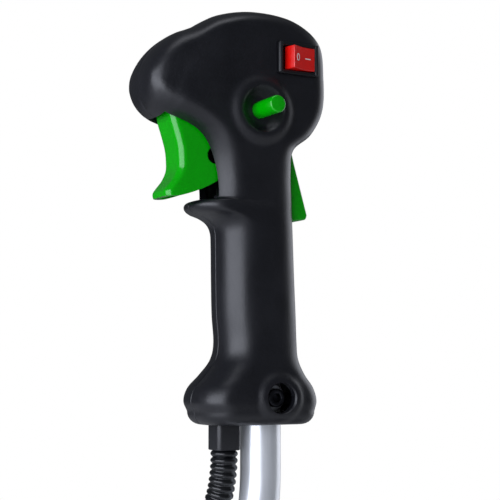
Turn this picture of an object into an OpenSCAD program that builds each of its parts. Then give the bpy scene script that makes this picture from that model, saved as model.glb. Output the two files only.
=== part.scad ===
// String trimmer control handle: a two-part moulded grip on the bent end of its
// handlebar tube, with throttle trigger, lock-out lever, half-throttle button,
// rocker stop switch, throttle cable and corrugated cable conduit.
// Millimetres. Origin: centre of the tube's cut lower end. +Z up along the grip,
// -X the trigger side, -Y the side with the switch and the button.

/* [Handlebar tube] */
// outside diameter of the handlebar tube
tube_d = 19; // [16:0.5:26]
// wall of the tube
tube_wall = 1.5; // [1:0.1:3]
// how far the tube runs up inside the grip
tube_in = 92; // [60:1:95]
// radius of the bend under the grip
bend_r = 60; // [40:1:120]
// angle of the bend
bend_deg = 50; // [0:1:80]
// compass direction the tube bends towards, from -X
bend_dir = 40; // [0:1:90]
// straight length after the bend
tube_straight = 75; // [40:1:200]

/* [Grip] */
// wall of the moulded shells
wall = 2.6; // [1.8:0.1:4]
// half width of the trigger slot
slot_w = 10.4; // [9.8:0.1:12]
// half width of the lever slot
lever_slot = 7.4; // [7:0.1:9]
// gap at the parting line, each side
part_gap = 0.05; // [0:0.01:0.2]

/* [Trigger] */
// half width of the trigger
trig_w = 9.5; // [7:0.1:9.8]
// full squeeze of the trigger, degrees
trig_travel = 17; // [5:1:17]

/* [Lever and button] */
// half width of the lock-out lever
lever_w = 6.6; // [5:0.1:6.8]
// diameter of the lock button
button_d = 8; // [6:0.5:8]
// how far the button stands out of its dish
button_out = 35; // [30:0.5:40]

/* [Switch] */
// bezel length and height
bezel = [21, 15];
// rocker length and height
rocker_size = [15.6, 10.8];
// tilt of the rocker from its middle position
rocker_tilt = 16; // [6:1:18]

/* [Conduit] */
// outside diameter of the corrugated conduit
conduit_d = 13; // [8:0.5:16]
// middle radius of the tied coil
coil_r = 65; // [50:1:80]
// pitch between the two turns of the coil
coil_pitch = 13.4; // [13:0.1:16]

/* [Hidden] */
$fn = 48;

// bend plane: H points the way the tube bends, W across it
H = [-cos(bend_dir), -sin(bend_dir), 0];
W = [sin(bend_dir), -cos(bend_dir), 0];
tube_s = bend_r*(1 - cos(bend_deg)) + tube_straight*sin(bend_deg);
tube_z = -20 - bend_r*sin(bend_deg) - tube_straight*cos(bend_deg);
tube_end = [H[0]*tube_s, H[1]*tube_s, tube_z];
function P(s, n, z) = [H[0]*s + W[0]*n, H[1]*s + W[1]*n, z];

// sections of the grip, bottom to nose: front x, z; rear x, z; half width; front and rear rounding
ST = [
  [-34.4, 7, 24.2, 7, 19.6, 13, 13], [-36.2, 12, 25.2, 12, 20, 13, 13],
  [-34.2, 18, 23.4, 18, 19.6, 13, 13], [-28.6, 24, 19.4, 24, 18.4, 13, 13],
  [-23.6, 31, 16.8, 31, 17.2, 15, 15], [-22.2, 39, 16.4, 39, 16.4, 16, 16],
  [-23.2, 52, 16.0, 52, 16.2, 16, 16], [-23.6, 68, 15.4, 68, 16.2, 16, 16],
  [-23.8, 84, 15.0, 84, 16.3, 16, 16], [-25.0, 96, 14.8, 96, 16.6, 16, 16],
  [-28.8, 106, 14.8, 107, 17.2, 15, 16], [-29.8, 115, 14.4, 119, 17.8, 14, 15],
  [-31.4, 123, 14.6, 130.2, 18.8, 13, 14], [-34.2, 130, 23.4, 138.4, 19.6, 12, 13],
  [-38.0, 134.6, 28.8, 150, 20, 12, 12], [-42.4, 137.2, 29.4, 166, 20, 12, 12],
  [-46.6, 138.8, 26.6, 183, 20, 12, 12], [-50.2, 139.8, 12.4, 192.8, 20, 12, 12],
  [-53.2, 140.6, -8.0, 195.2, 19.8, 12, 13], [-55.2, 141.4, -26.0, 191.8, 19.2, 12, 13],
  [-56.6, 142.2, -40.0, 185.6, 18.4, 11, 12], [-57.0, 143.0, -50.5, 178.6, 17.6, 11, 11]];
cap_lo = 6;
cap_hi = 7;

function cr(a, b, c, d, u) = 0.5*(2*b + (c - a)*u + (2*a - 5*b + 4*c - d)*u*u + (3*b - a - 3*c + d)*u*u*u);
function at(t) = let(m = len(ST) - 1, i = min(m - 1, floor(t)), u = t - i,
  a = i > 0 ? ST[i - 1] : 2*ST[0] - ST[1], d = i + 2 <= m ? ST[i + 2] : 2*ST[m] - ST[m - 1])
  cr(a, ST[i], ST[i + 1], d, u);
// one closed section, half of it on each side, inset by k and moved adv along its own normal
function sec(s, k, adv) = let(L = norm([s[2] - s[0], s[3] - s[1]]),
  ex = (s[2] - s[0])/L, ez = (s[3] - s[1])/L, A = L/2 - k, b = s[4] - k,
  rf = min(A*0.98, max(s[5] - k, 0.2*A)), rr = min(A*0.98, max(s[6] - k, 0.2*A)),
  mx = (s[0] + s[2])/2 - ez*adv, mz = (s[1] + s[3])/2 + ex*adv, q = 2/2.3,
  half = concat([for (a = [0, 22, 42, 60, 76, 90]) [A - rr + rr*pow(max(0, cos(a)), q), b*pow(sin(a), q)]],
    [for (a = [90, 76, 60, 42, 22, 0]) [-(A - rf + rf*pow(max(0, cos(a)), q)), b*pow(sin(a), q)]]),
  full = concat(half, [for (i = [10:-1:1]) [half[i][0], -half[i][1]]]))
  [for (p = full) [mx + p[0]*ex, -p[1], mz + p[0]*ez]];
function caps(s, w, r, dir) = let(g = r - w) dir < 0
  ? concat([sec(s, w + g + 7, -g)], [for (a = [90, 55, 28]) sec(s, w + g*(1 - cos(a)), -g*sin(a))])
  : concat([for (a = [28, 55, 90]) sec(s, w + g*(1 - cos(a)), g*sin(a))], [sec(s, w + g + 6, g)]);
nst = 34;
function rings(w) = concat(caps(ST[0], w, cap_lo, -1),
  [for (i = [0:nst]) sec(at(i*(len(ST) - 1)/nst), w, 0)],
  caps(ST[len(ST) - 1], w, cap_hi, 1));

// skin through closed rings with the same number of points, ends closed by fans
module skin(R) {
  n = len(R[0]);
  m = len(R);
  polyhedron(concat([for (r = R) each r], [[for (k = [0:2]) sum([for (p = R[0]) p[k]])/n],
      [for (k = [0:2]) sum([for (p = R[m - 1]) p[k]])/n]]),
    concat(
      [for (i = [0:m - 2]) for (j = [0:n - 1]) [i*n + j, i*n + (j + 1)%n, (i + 1)*n + (j + 1)%n]],
      [for (i = [0:m - 2]) for (j = [0:n - 1]) [i*n + j, (i + 1)*n + (j + 1)%n, (i + 1)*n + j]],
      [for (j = [0:n - 1]) [m*n, (j + 1)%n, j]],
      [for (j = [0:n - 1]) [m*n + 1, (m - 1)*n + j, (m - 1)*n + (j + 1)%n]]), convexity = 8);
}
function sum(v, i = 0) = i >= len(v) ? 0 : v[i] + sum(v, i + 1);
function unit(v) = v/max(1e-6, norm(v));
// frames carried along a path so a swept section does not twist
function nextn(n, t) = unit(n - (n*t)*t);
function tang(p, i) = unit(p[min(len(p) - 1, i + 1)] - p[max(0, i - 1)]);
function frames(p, n, i = 0) = i >= len(p) ? [] :
  let(t = tang(p, i), m = nextn(n, t)) concat([[m, cross(t, m)]], frames(p, m, i + 1));
module sweep(p, r, k = 10, up = [0.31, 0.87, 0.2]) {
  f = frames(p, nextn(up, tang(p, 0)));
  skin([for (i = [0:len(p) - 1]) [for (j = [0:k - 1])
    p[i] + r*(cos(-360*j/k)*f[i][0] + sin(-360*j/k)*f[i][1])]]);
}
function crp(p, i, u) = let(m = len(p) - 1, a = i > 0 ? p[i - 1] : 2*p[0] - p[1],
  d = i + 2 <= m ? p[i + 2] : 2*p[m] - p[m - 1]) cr(a, p[i], p[i + 1], d, u);
function smooth(p, k) = concat([for (i = [0:len(p) - 2]) for (j = [0:k - 1]) crp(p, i, j/k)], [p[len(p) - 1]]);

module solid(w) { skin(rings(w)); }
// a straight rod along Y at x, z
module yrod(x, z, r, y0, y1) { translate([x, y0, z]) rotate([-90, 0, 0]) cylinder(r = r, h = y1 - y0); }
module xz(y0, y1, pts) { translate([0, y1, 0]) rotate([90, 0, 0]) linear_extrude(y1 - y0) polygon(pts); }

trig = [-44, 152];
bolt_z = 13.4;
lever = [8, 141];
nip = [-20.2, 148.7];
btn = [-9.5, 146];
sw = [8.8, 171.3];
// x, z and how deep the head sits
screws = [[17.4, 10.5, 3], [-28.6, 11, 3.2], [-46, 168, 0], [20, 152, 0], [-14, 181, 0]];

ledge = [[-22, 92], [-25, 93], [-31, 98], [-38, 100.6], [-39.3, 102.2], [-38.4, 103.8], [-28.5, 104], [-27, 106],
  [-22, 106]];
module ledge_solid() {
  intersection() {
    xz(-14.6, 14.6, ledge);
    translate([-19.3, 0, 80]) cylinder(r = 20, h = 40, $fn = 48);
  }
}
module bosses() {
  for (p = screws) yrod(p[0], p[1], 3.6, -19, 19);
  yrod(0, bolt_z, 9, -19, -9);
  yrod(0, bolt_z, 7, 10.4, 19);
  yrod(trig[0], trig[1], 4.2, -19, -10.2);
  yrod(trig[0], trig[1], 4.2, 10.2, 19);
  yrod(lever[0], lever[1], 4, -19, -7.4);
  yrod(lever[0], lever[1], 4, 7.4, 19);
  yrod(btn[0], btn[1], 13.6, -19.6, -12.6);
  yrod(btn[0], btn[1], 5.4, 1, 19);
  for (z = [34, 62, 84]) difference() {
    translate([0, 0, z]) cylinder(r = 17.5, h = 2.4);
    translate([-30, -8, z - 1]) cube([21, 16, 5]);
  }
  // seat of the cable adjuster
  difference() {
    translate([-27.5, -15, 100]) cube([13, 30, 4]);
    translate([-20.2, 0, 99]) cylinder(r = 3.1, h = 6);
    translate([-16, -6, 99]) cube([4, 12, 6]);
  }
}
module cutters() {
  translate([0, 0, -10]) cylinder(r = tube_d/2 + 0.05, h = tube_in + 10.4);
  xz(-slot_w, slot_w, [[-55.4, 104.6], [-53.4, 146], [-21, 146], [-21, 104.6]]);
  translate([8, -lever_slot, 95.2]) cube([20, 2*lever_slot, 39.6]);
  // dish, button bore, bolt, nut and screw holes
  translate([btn[0], -35.6, btn[1]]) sphere(r = 19.8, $fn = 48);
  yrod(btn[0], btn[1], button_d/2 + 0.05, -30, -5);
  yrod(btn[0], btn[1], 2.75, -5, 6.4);
  yrod(0, bolt_z, 7, -40, -11.1);
  yrod(0, bolt_z, 2.7, -40, 40);
  translate([0, 12.4, bolt_z]) rotate([-90, 0, 0]) cylinder(r = 4.75, h = 20, $fn = 6);
  yrod(trig[0], trig[1], 2.03, -15.4, 15.4);
  yrod(lever[0], lever[1], 2.03, -15.4, 15.4);
  for (p = screws) {
    yrod(p[0], p[1], 2, -11.5, 30);
    yrod(p[0], p[1], 3.95, 14 - p[2], 30);
  }
  // room round the cable adjuster and its nut
  translate([-20.2, 0, 88]) cylinder(r = 4.3, h = 11.8);
  translate([-20.2, 0, 98]) cylinder(r = 3.1, h = 16);
  translate([-20.2, 0, 104.02]) cylinder(r = 4.7, h = 8);
  // switch opening
  translate([sw[0] - 9.7, -30, sw[1] - 6.55]) cube([19.4, 20, 13.1]);
  translate([sw[0] - 11.2, -40, sw[1] - 8.2]) cube([22.4, 20.2, 16.4]);
  // conduit adaptor opening, groove for its collar
  translate([-25.4, -6.4, -5]) cube([12.8, 12.8, 20]);
  translate([-27, -8, 3]) cube([15.4, 16, 3]);
}
module shell(dir) {
  intersection() {
    difference() {
      union() {
        difference() { solid(0); solid(wall); }
        intersection() { bosses(); solid(0.4); }
        ledge_solid();
      }
      cutters();
    }
    translate([-100, dir < 0 ? -60 : part_gap, -20]) cube([200, 60 - part_gap, 260]);
  }
}
// resize to nothing keeps the size; it has each shell taken as one closed mesh
module left_shell() { color("#15161a") resize([0, 0, 0]) shell(-1, $fn = 30); }
module right_shell() { color("#15161b") resize([0, 0, 0]) shell(1, $fn = 30); }

bend_pts = [for (i = [0:10]) let(f = bend_deg*i/10) P(bend_r*(1 - cos(f)), 0, -20 - bend_r*sin(f))];
function tube_path(m) = concat([[0, 0, tube_in + m]], bend_pts,
  [P(tube_s + m*sin(bend_deg), 0, tube_z - m*cos(bend_deg))]);
module pipe(l, t) { difference() { cylinder(r = tube_d/2 - t, h = l, $fn = 72); translate([0, 0, -1]) cylinder(r = tube_d/2 - tube_wall + t, h = l + 2, $fn = 72); } }
module handlebar_tube() {
  color("#c9ccd0") rotate([0, 0, 180 + bend_dir]) {
    difference() {
      translate([0, 0, -20.5]) pipe(tube_in + 20.5, 0);
      rotate([0, 0, -180 - bend_dir]) translate([0, -20, bolt_z]) rotate([-90, 0, 0]) cylinder(r = 2.7, h = 40, $fn = 32);
    }
    translate([bend_r, 0, -20]) rotate([-90, 0, 0]) rotate([0, 0, 180]) rotate_extrude(angle = -bend_deg, $fn = 96)
      translate([bend_r, 0]) difference() { circle(r = tube_d/2 - 0.05, $fn = 72); circle(r = tube_d/2 - tube_wall + 0.05, $fn = 72); }
    translate([bend_r*(1 - cos(bend_deg)), 0, -20 - bend_r*sin(bend_deg)]) rotate([0, 180 - bend_deg, 0])
      translate([0, 0, -0.5]) pipe(tube_straight + 0.5, 0);
  }
}
// plastic plug in the upper end of the tube
module tube_end_cap() {
  color("#1b1c1f") difference() {
    union() {
      translate([0, 0, 80]) cylinder(r = 7.9, h = 12.1);
      translate([0, 0, 92.05]) cylinder(r = 9.3, h = 1.8);
    }
    translate([0, 0, 79]) cylinder(r = 6, h = 11);
  }
}

module clamp_bolt() {
  color("#2b2c30") difference() {
    union() {
      yrod(0, bolt_z, 2.5, -13, 17.2);
      yrod(0, bolt_z, 4.25, -16, -12.2);
    }
    translate([0, -17, bolt_z]) rotate([-90, 0, 0]) cylinder(r = 2.3, h = 3.6, $fn = 6);
  }
}
module clamp_washer() {
  color("#b9bcc2") difference() {
    yrod(0, bolt_z, 6, -12.15, -11.15);
    yrod(0, bolt_z, 2.65, -14, -10);
  }
}
module clamp_nut() {
  color("#b9bcc3") difference() {
    translate([0, 12.5, bolt_z]) rotate([-90, 0, 0]) cylinder(r = 4.6, h = 4, $fn = 6);
    yrod(0, bolt_z, 2.5, 11, 20);
  }
}
module housing_screws() {
  color("#8f9298") for (p = screws) difference() {
    union() {
      yrod(p[0], p[1], 1.95, -11, 14.6 - p[2]);
      yrod(p[0], p[1], 3.8, 14.1 - p[2], 16.4 - p[2]);
    }
    translate([p[0] - 2.2, 15.2 - p[2], p[1] - 0.5]) cube([4.4, 3, 1]);
    translate([p[0] - 0.5, 15.2 - p[2], p[1] - 2.2]) cube([1, 3, 4.4]);
  }
}

// trigger: front x, rear x at heights z
TG = [[105.2, -52.2, -44.6], [107, -53, -40.5], [109, -51.6, -35], [111.4, -49.4, -29.6], [113.2, -48.2, -26.8],
  [118, -46.4, -26.6], [123, -46.3, -27.4], [128, -46.9, -29.2], [134, -48.6, -31.6], [140.5, -50.7, -36],
  [146, -51.6, -38], [152, -50.4, -39.6], [156, -48.2, -41.2]];
function tsec(q, k, back) = let(x0 = q[1] + k, x1 = q[2] + back, b = trig_w - k, r = max(0.6, 3.6 - k))
  [[x1, b, q[0]], [x1, -b, q[0]], [x0 + r, -b, q[0]], [x0 + r*0.5, -b + r*0.134, q[0]], [x0 + r*0.134, -b + r*0.5, q[0]],
   [x0, -b + r, q[0]], [x0, b - r, q[0]], [x0 + r*0.134, b - r*0.5, q[0]], [x0 + r*0.5, b - r*0.134, q[0]],
   [x0 + r, b, q[0]]];
module trigger() {
  color("#0f9a1c") resize([0, 0, 0], $fn = 32) difference() {
    union() {
      difference() {
        skin([for (q = TG) tsec(q, 0, 0)]);
        skin([for (i = [0:len(TG) - 1]) tsec(TG[i] + [i == 0 ? -1 : i == len(TG) - 1 ? 1 : 0, 0, 0], 2.3, 6)]);
      }
      yrod(trig[0], trig[1], 4.4, -9.5, 9.5);
      // arm to the cable
      xz(-2.9, 2.9, [[-45.5, 147.9], [-21.6, 143.6], [-20.2, 154], [-43.4, 156.2]]);
      yrod(nip[0], nip[1], 5.4, -4.6, 4.6);
    }
    yrod(trig[0], trig[1], 2.05, -20, 20);
    yrod(nip[0], nip[1], 3.1, -20, 20);
    translate([-23.8, -1.3, 140]) cube([7.2, 2.6, 9]);
    yrod(-27.4, 123.8, 3.1, -20, 20);
  }
}
module trigger_pivot_pin() { color("#c2c5ca") yrod(trig[0], trig[1], 2, -15.2, 15.2); }
function coil(x, z, r, y0, y1, n, a0 = 0) = [for (i = [0:n*12]) [x + r*cos(a0 + i*30), y0 + (y1 - y0)*i/(n*12), z + r*sin(a0 + i*30)]];
module trigger_spring() {
  color("#9da0a5") sweep(concat([[-38.4, 3.9, 164]], coil(trig[0], trig[1], 5.4, 4.1, 6.6, 3), [[-38.4, 6.7, 159]]), 0.45, 6);
}

LV = [[3.4, 143], [3.4, 137.6], [8.4, 126], [11.2, 114], [12.4, 98.4], [14, 96.4], [21.4, 97.6], [22.2, 99.6], [15.2, 124],
  [13.2, 132], [12.8, 143]];
module lockout_lever() {
  color("#0f9a1d") difference() {
    union() {
      xz(-lever_w, lever_w, LV);
      yrod(lever[0], lever[1], 4.8, -lever_w, lever_w);
      xz(-2.5, 2.5, [[-1.2, 145.4], [-1.2, 141.4], [4, 138.6], [6, 145.6]]);
    }
    xz(-lever_w + 2, lever_w - 2, [[0, 134.4], [5.4, 128.8], [9, 114], [10, 98], [12, 98], [18.6, 100.6], [12.2, 124],
      [9.6, 134.4]]);
    yrod(lever[0], lever[1], 2.05, -20, 20);
  }
}
module lever_pivot_pin() { color("#c2c5cb") yrod(lever[0], lever[1], 2, -15.2, 15.2); }
module lever_spring() {
  color("#9da0a6") sweep(concat([[15.8, -6.85, 149.4]], [for (p = coil(lever[0], lever[1], 5.6, -7.1, -7.1, 1)) p],
    [[16.4, -7.1, 138]]), 0.2, 6);
}

module lock_button() {
  color("#0f9a1e") union() {
    yrod(btn[0], btn[1], button_d/2 - 1, -button_out, -button_out + 1);
    translate([btn[0], -button_out + 1, btn[1]]) rotate([-90, 0, 0]) cylinder(r1 = button_d/2 - 0.9, r2 = button_d/2, h = 1);
    yrod(btn[0], btn[1], button_d/2, -button_out + 2, -9.6);
    yrod(btn[0], btn[1], 5, -12, -10);
    yrod(btn[0], btn[1], 2.4, -9.7, -1);
  }
}
module button_spring() {
  color("#9da0a7") sweep(coil(btn[0], btn[1], 3.3, -5, 0.5, 4), 0.4, 6);
}

module switch_body() {
  color("#101113") difference() {
    union() {
      translate([sw[0] - bezel[0]/2, -22.2, sw[1] - bezel[1]/2]) cube([bezel[0], 2.2, bezel[1]]);
      translate([sw[0] - 9.6, -20.1, sw[1] - 6.45]) cube([19.2, 13.6, 12.9]);
    }
    translate([sw[0] - 8.4, -30, sw[1] - 5.9]) cube([16.8, 18, 11.8]);
  }
  // pivot stubs of the rocker
  color("#101113") for (s = [-1, 1]) translate([sw[0], -18.4, sw[1] + s*5.4 - 0.6]) cylinder(r = 1.2, h = 1.2);
}
module rocker() {
  color("#d01818") translate([sw[0], -18.4, 0]) rotate([0, 0, rocker_tilt])
    difference() {
      translate([0, 0, sw[1] - rocker_size[1]/2]) linear_extrude(rocker_size[1])
        polygon([[-6.9, 0], [-6.9, -5.9], [-6.5, -6.4], [0, -5.3], [6.5, -6.4], [6.9, -5.9], [6.9, 0], [3.4, 3.6], [-3.4, 3.6]]);
      for (s = [-1, 1]) translate([0, 0, sw[1] + s*5.4 - 0.9]) cylinder(r = 1.25, h = 1.8);
    }
}
module switch_terminals() {
  color("#c9a45a") for (s = [-1, 1]) translate([sw[0] + s*5 - 0.4, -6.49, sw[1] - 2.4]) cube([0.8, 7.8, 4.8]);
}
module spade_connectors() {
  color("#b03030") for (s = [-1, 1]) translate([sw[0] + s*5 - 1.9, -4.6, sw[1] - 3.4]) difference() {
    cube([3.8, 11, 6.8]);
    translate([1.4, -1, 0.9]) cube([1, 7.6, 5]);
  }
}
lead_a = [[3.8, 6.6, 171.3], [3.8, 9.6, 170], [3, 11.4, 164], [0.4, 11.8, 154], [-1.4, 12, 141], [-3.4, 12, 124], [-9, 11.6, 108],
  [-12.8, 8, 96], [-14.2, 5.2, 84], [-14.2, 5.2, 50], [-14.2, 5.2, 20], [-17, 3, 8], [-17, 3, 2]];
lead_b = [[13.8, 6.6, 171.3], [13.8, 9.6, 170], [9, 11.6, 161], [3.4, 11.8, 153], [1.4, 12, 141], [-0.6, 12, 124], [-6.4, 12, 106],
  [-12.8, 10.4, 95], [-15.6, 6.6, 84], [-15.6, 6.6, 50], [-15.6, 6.6, 20], [-20.6, 3.2, 8], [-20.6, 3, 2]];
module switch_leads() {
  color("#202124") sweep(smooth(lead_a, 2), 0.9, 6);
  color("#202124") sweep(smooth(lead_b, 2), 0.9, 6);
}

module throttle_wire() { color("#a9acb0") translate([nip[0], 0, 100.4]) cylinder(r = 0.75, h = nip[1] - 101); }
module wire_nipple() {
  color("#caa75c") difference() {
    yrod(nip[0], nip[1], 2.5, -4, 4);
    translate([nip[0], 0, nip[1] - 4]) cylinder(r = 0.75, h = 4);
  }
}
module cable_adjuster() {
  color("#b7babf") difference() {
    union() {
      translate([-20.2, 0, 96]) cylinder(r = 3, h = 15);
      translate([-20.2, 0, 95]) cylinder(r = 4, h = 4.6, $fn = 6);
    }
    translate([-20.2, 0, 90]) cylinder(r = 1.15, h = 30);
    translate([-20.2, 0, 90]) cylinder(r = 2.6, h = 9);
  }
}
module adjuster_nut() {
  color("#b7babe") difference() {
    translate([-20.2, 0, 104.1]) cylinder(r = 4.4, h = 3, $fn = 6);
    translate([-20.2, 0, 100]) cylinder(r = 3.03, h = 10);
  }
}
cable_path = [[-20.2, 0, 98.8], [-20.2, 0, 95], [-18.4, 0, 88], [-16.6, 0, 80], [-16, 0, 68], [-16, 0, 45], [-16, 0, 25],
  [-17.2, -1, 14], [-18.6, -2, 6], [-19, -2, 0], [-19, -2, -9]];
module throttle_cable_outer() { color("#1d1e21") sweep(smooth(cable_path, 2), 2.5, 8); }

module conduit_adaptor() {
  color("#24262b") difference() {
    union() {
      translate([-19, 0, -10.6]) linear_extrude(18.6) offset(r = 3) square([6.4, 6.4], center = true);
      translate([-19, 0, 3.15]) linear_extrude(2.7) square([15, 15.6], center = true);
    }
    translate([-19, 0, -14]) cylinder(r = 4.9, h = 30);
  }
}
lead_in = [P(14.5, -12.2, -10.65), P(14.5, -12.6, -20), P(14, -14.6, -31), P(12.5, -19.5, -44), P(8, -27, -62),
  P(3, -38, -75), P(-2, -49, -88), P(-6.5, -58.5, -100), P(-9.3, -63.6, -110), P(-10, -65, -116)];
module conduit_lead() { color("#17181b") sweep(smooth(lead_in, 2), conduit_d/2, 12, W); }
module conduit_coil() {
  color("#17181c") for (k = [0, 1]) translate(P(-10.4 - coil_pitch*(k + 0.5), 0, -116)) rotate([0, 0, bend_dir])
    rotate([0, 90, 0]) rotate_extrude($fn = 72) translate([coil_r, 0]) circle(r = conduit_d/2 - 0.2, $fn = 24);
}
// a flat strap round a bundle of half sizes a, b at q, lying across the direction dir
module strap(a, b, wid) {
  translate([0, 0, -wid/2]) linear_extrude(wid) difference() {
    offset(r = 1.2) square([2*a, 2*b], center = true);
    square([2*a, 2*b], center = true);
  }
}
ties = [60, 150, 210, 330];
module coil_ties() {
  color("#0e0f11") for (a = ties) translate(P(-10.4 - coil_pitch, 0, -116)) rotate([0, 0, bend_dir])
    rotate([a, 0, 0]) translate([0, 0, coil_r]) rotate([90, 0, 0]) strap(coil_pitch + 0.1, conduit_d/2, 4.6);
}
cend = P(-10.4 - 2*coil_pitch - 1.4, -65, -118);
module conduit_end_cap() {
  color("#24262a") translate(cend + [0, 0, -26]) difference() {
    cylinder(r = 8, h = 24);
    translate([0, 0, 8]) cylinder(r = conduit_d/2 + 0.05, h = 20);
    translate([0, 0, -1]) cylinder(r = 4.6, h = 12);
  }
}
module cable_end_sleeve() {
  color("#1d1e22") translate(cend + [-1.6, 0, 0]) difference() {
    translate([0, 0, -52]) cylinder(r = 2.5, h = 30);
    translate([0, 0, -60]) cylinder(r = 0.95, h = 20);
  }
  color("#c5c8cd") translate(cend + [-1.6, 0, 0]) difference() {
    translate([0, 0, -58]) cylinder(r = 3, h = 9);
    translate([0, 0, -52.05]) cylinder(r = 2.52, h = 6);
    translate([0, 0, -60]) cylinder(r = 0.95, h = 20);
  }
}
module cable_end_wire() {
  color("#a9acb1") translate(cend + [-1.6, 0, -88]) cylinder(r = 0.75, h = 29.9);
  color("#caa75d") translate(cend + [-1.6, -3, -90.4]) rotate([-90, 0, 0]) cylinder(r = 2.5, h = 6);
}
module stop_leads() {
  for (s = [-1, 1]) color(s < 0 ? "#202125" : "#a8231f") sweep(smooth([cend + [2.6, s*1.4, -12], cend + [2.6, s*1.4, -26],
    cend + [3.2, s*2.4, -36], cend + [4.4, s*4, -48], cend + [5, s*4.6, -60], cend + [5, s*4.6, -67]], 2), 0.95, 6);
}
module stop_connectors() {
  color("#b9832e") for (s = [-1, 1]) translate(cend + [5, s*4.6, -82]) union() {
    cylinder(r = 1.9, h = 15);
    translate([0, 0, -4]) cylinder(r = 1.1, h = 5);
  }
}

module place() { translate(-tube_end) children(); }
place() left_shell();
place() right_shell();
place() handlebar_tube();
place() tube_end_cap();
place() clamp_bolt();
place() clamp_washer();
place() clamp_nut();
place() housing_screws();
place() trigger();
place() trigger_pivot_pin();
place() trigger_spring();
place() lockout_lever();
place() lever_pivot_pin();
place() lever_spring();
place() lock_button();
place() button_spring();
place() switch_body();
place() rocker();
place() switch_terminals();
place() spade_connectors();
place() switch_leads();
place() throttle_wire();
place() wire_nipple();
place() cable_adjuster();
place() adjuster_nut();
place() throttle_cable_outer();
place() conduit_adaptor();
place() conduit_lead();
place() conduit_coil();
place() coil_ties();
place() conduit_end_cap();
place() cable_end_sleeve();
place() cable_end_wire();
place() stop_leads();
place() stop_connectors();
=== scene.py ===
# %% [markdown]
# # A string trimmer's throttle handle
# The handle is a pair of black nylon half shells screwed together round the end of an aluminium handlebar.
# It carries a green throttle trigger, a lock-out lever behind it, a green lock button and a red stop
# switch, and a corrugated conduit takes the cable and the leads down to the engine. The engineering model
# is loaded first, and every piece made here is placed from it, in metres, so nothing has to be fitted by
# eye.

# %% load the engineering model
import math

import bmesh
import bpy
import numpy as np
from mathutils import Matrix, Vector


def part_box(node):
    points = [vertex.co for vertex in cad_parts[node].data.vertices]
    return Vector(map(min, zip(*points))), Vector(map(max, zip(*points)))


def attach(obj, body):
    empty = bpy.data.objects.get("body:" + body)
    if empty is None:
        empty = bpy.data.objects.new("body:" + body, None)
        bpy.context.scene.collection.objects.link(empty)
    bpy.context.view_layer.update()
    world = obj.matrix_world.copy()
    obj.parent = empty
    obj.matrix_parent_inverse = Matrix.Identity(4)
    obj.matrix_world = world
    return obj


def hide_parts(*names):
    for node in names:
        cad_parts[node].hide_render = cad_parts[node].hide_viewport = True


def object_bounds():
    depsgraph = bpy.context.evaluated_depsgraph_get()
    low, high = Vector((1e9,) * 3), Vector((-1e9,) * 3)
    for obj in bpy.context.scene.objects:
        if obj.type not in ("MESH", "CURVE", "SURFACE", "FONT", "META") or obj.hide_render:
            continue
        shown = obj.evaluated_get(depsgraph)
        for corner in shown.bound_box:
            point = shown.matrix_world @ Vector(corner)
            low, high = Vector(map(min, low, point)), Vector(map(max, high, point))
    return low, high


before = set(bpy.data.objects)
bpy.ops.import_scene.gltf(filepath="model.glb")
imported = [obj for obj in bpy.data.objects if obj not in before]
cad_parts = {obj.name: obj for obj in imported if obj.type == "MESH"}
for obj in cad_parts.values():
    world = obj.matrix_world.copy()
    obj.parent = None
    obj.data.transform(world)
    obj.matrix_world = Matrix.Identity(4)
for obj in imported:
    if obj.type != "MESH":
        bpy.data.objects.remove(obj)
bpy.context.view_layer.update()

# %% [markdown]
# ## One local frame for the grip
# The grip is easiest to describe in millimetres from its own foot: x is negative towards the trigger, y is
# negative on the switch side, and z goes up the neck. The pin that the trigger turns on is the anchor: its
# middle is known in both frames, which gives the shift from one to the other. The handlebar bends away in a
# plane that is turned 40 degrees from the grip, so a second pair of directions, outwards and sideways,
# serves the conduit.

# %% the grip's frame and the bend's directions
PIN = np.array([-44.0, 0.0, 152.0])
pin_low, pin_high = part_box("trigger_pivot_pin")
GRIP = (np.array(pin_low) + np.array(pin_high)) / 2 - PIN / 1000
BEND = math.radians(40)
OUTWARDS = np.array([-math.cos(BEND), -math.sin(BEND), 0.0])
SIDEWAYS = np.array([math.sin(BEND), -math.cos(BEND), 0.0])


def metres(points):
    """Grip millimetres to the model's metres: divide by a thousand and add the grip's place."""
    return np.asarray(points, float) / 1000 + GRIP


def bend_points(rows):
    """Rows of (outwards, sideways, height) become x, y, z: each length times its direction, added up."""
    rows = np.asarray(rows, float)
    return rows[:, :1] * OUTWARDS + rows[:, 1:2] * SIDEWAYS + rows[:, 2:] * np.array([0.0, 0.0, 1.0])


print("grip foot at", GRIP.round(4))

# %% [markdown]
# ## The camera
# A long lens from well back keeps the handle's sides almost parallel. It stands on the switch side, turned a
# little towards the trigger, and just below the middle of the grip, looking slightly up.

# %% camera
AZIMUTH, ELEVATION = math.radians(-28), math.radians(-5)
back = Vector((math.sin(AZIMUTH) * math.cos(ELEVATION), -math.cos(AZIMUTH) * math.cos(ELEVATION),
               math.sin(ELEVATION)))
camera = bpy.data.objects.new("camera", bpy.data.cameras.new("camera"))
bpy.context.collection.objects.link(camera)
camera.data.lens, camera.data.sensor_width = 91.44, 36
camera.location = Vector(metres([-5.5, 0, 82.5])) + back * 0.6
camera.rotation_euler = (-back).to_track_quat("-Z", "Y").to_euler()
bpy.context.scene.camera = camera
print("camera", tuple(round(v, 3) for v in camera.location))

# %% [markdown]
# ## Surfaces as grids
# Nearly every piece here is a grid of points: a section carried along a path, or a profile turned round an
# axis. One function numbers the four corners of every cell, and another puts points and faces into a mesh,
# welds the poles and seams, turns the faces outwards and marks as sharp only the edges that really are.

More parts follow.
